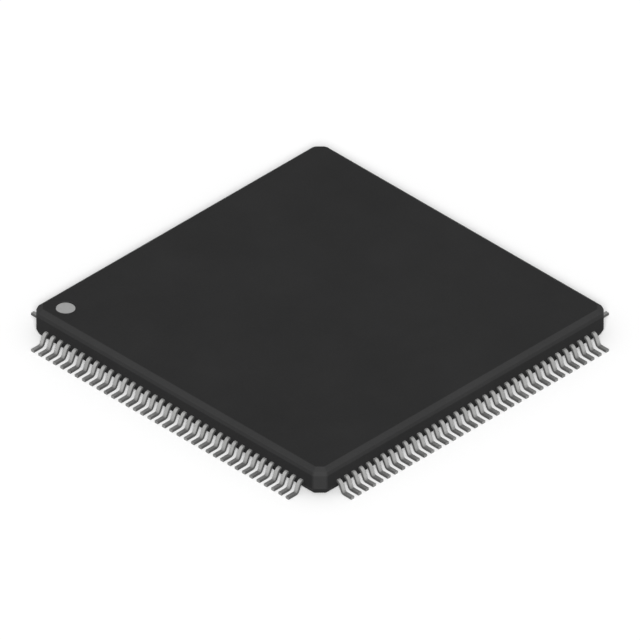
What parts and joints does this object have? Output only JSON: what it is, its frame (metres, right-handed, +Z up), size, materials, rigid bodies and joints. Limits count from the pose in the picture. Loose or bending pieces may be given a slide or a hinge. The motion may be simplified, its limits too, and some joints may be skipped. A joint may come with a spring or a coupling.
{
  "type": "microprocessor",
  "caption": "Square moulded microprocessor package with a row of gull-wing leads along each side and a round mark at the pin 1 corner.",
  "frame": {"origin": "middle of the seating plane, on the undersides of the feet, under the centre of the body", "axes": "+Z up, away from the board; pin 1 is at the corner at -X, +Y, and the pins count on along the -X side towards -Y"},
  "size_m": [0.022, 0.022, 0.0016],
  "materials": {
    "mould_compound": "fine matt, as moulded",
    "mark_ink": "flat pale ink",
    "silicon": "polished silicon",
    "die_adhesive": "silver-filled epoxy",
    "bare_copper": "bare copper, as rolled or drawn",
    "tinned_lead": "matt tin plate"
  },
  "bodies": {
    "root": {"moulded_body": "mould_compound", "pin_one_mark": "mark_ink", "die": "silicon", "die_attach": "die_adhesive", "die_paddle": "bare_copper", "leads_001_004": "tinned_lead", "leads_005_008": "tinned_lead", "leads_009_012": "tinned_lead", "leads_013_016": "tinned_lead", "leads_017_020": "tinned_lead", "leads_021_024": "tinned_lead", "leads_025_028": "tinned_lead", "leads_029_032": "tinned_lead", "leads_033_036": "tinned_lead", "leads_037_040": "tinned_lead", "leads_041_044": "tinned_lead", "leads_045_048": "tinned_lead", "leads_049_052": "tinned_lead", "leads_053_056": "tinned_lead", "leads_057_060": "tinned_lead", "leads_061_064": "tinned_lead", "leads_065_068": "tinned_lead", "leads_069_072": "tinned_lead", "leads_073_076": "tinned_lead", "leads_077_080": "tinned_lead", "leads_081_084": "tinned_lead", "leads_085_088": "tinned_lead", "leads_089_092": "tinned_lead", "leads_093_096": "tinned_lead", "leads_097_100": "tinned_lead", "leads_101_104": "tinned_lead", "leads_105_108": "tinned_lead", "leads_109_112": "tinned_lead", "leads_113_116": "tinned_lead", "leads_117_120": "tinned_lead", "leads_121_124": "tinned_lead", "leads_125_128": "tinned_lead", "leads_129_132": "tinned_lead", "leads_133_136": "tinned_lead", "leads_137_140": "tinned_lead", "leads_141_144": "tinned_lead"}
  },
  "joints": []
}
